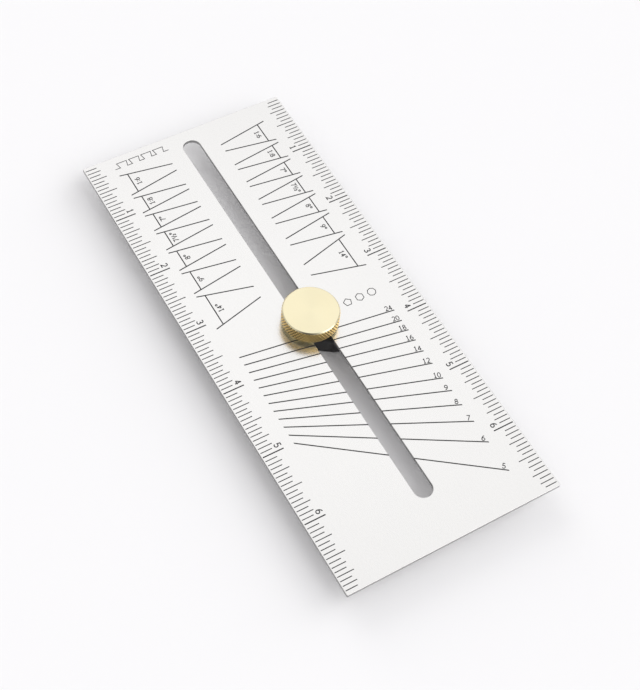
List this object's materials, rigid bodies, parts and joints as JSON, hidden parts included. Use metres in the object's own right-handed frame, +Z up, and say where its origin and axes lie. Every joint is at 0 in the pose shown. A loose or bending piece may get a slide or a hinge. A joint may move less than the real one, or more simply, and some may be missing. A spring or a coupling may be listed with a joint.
{
  "type": "bevel setter",
  "caption": "Flat slotted steel plate with inch rules, dovetail and polygon angle lines, and a pivoting fence bar clamped under it by a knurled brass knob.",
  "frame": {"origin": "on the resting surface, under the middle of the plate", "axes": "+X to the right across the plate, +Y along the plate towards the rules' zero end, +Z up out of the marked face"},
  "size_m": [0.0762, 0.1778, 0.0139],
  "materials": {
    "plate_steel": "satin stainless",
    "etch_black": "matt black fill",
    "fence_black": "black anodised",
    "screw_steel": "plain steel",
    "knob_brass": "turned and knurled"
  },
  "bodies": {
    "plate": {"plate": "plate_steel", "rule_ticks_left": "etch_black", "rule_ticks_right": "etch_black", "rule_numerals_left": "etch_black", "rule_numerals_right": "etch_black", "dovetail_lines_left": "etch_black", "dovetail_lines_right": "etch_black", "dovetail_labels_left": "etch_black", "dovetail_labels_right": "etch_black", "dovetail_symbol": "etch_black", "polygon_lines": "etch_black", "polygon_numerals": "etch_black", "polygon_symbols": "etch_black"},
    "carriage": {"pivot_bush": "knob_brass"},
    "fence": {"fence": "fence_black", "clamp_screw": "screw_steel"},
    "washer": {"washer": "screw_steel"},
    "knob": {"knob": "knob_brass"}
  },
  "joints": [
    {"name": "slot_slide", "type": "slide", "parent": "plate", "child": "carriage", "axis": [0, 1, 0], "range_m": [-0.06855, 0.08226]},
    {"name": "fence_swing", "type": "hinge", "parent": "carriage", "child": "fence", "pos_m": [0, -0.0013, 0], "axis": [0, 0, 1], "continuous": true},
    {"name": "washer_lift", "type": "slide", "parent": "fence", "child": "washer", "axis": [0, 0, 1], "range_m": [0, 0.00119]},
    {"name": "knob_turn", "type": "hinge", "parent": "washer", "child": "knob", "pos_m": [0, -0.0013, 0], "axis": [0, 0, 1], "range_deg": [0, 540]}
  ],
  "couplings": [
    {"joint": "knob_turn", "follows": "washer_lift", "rad_per_m": 7915.8}
  ]
}
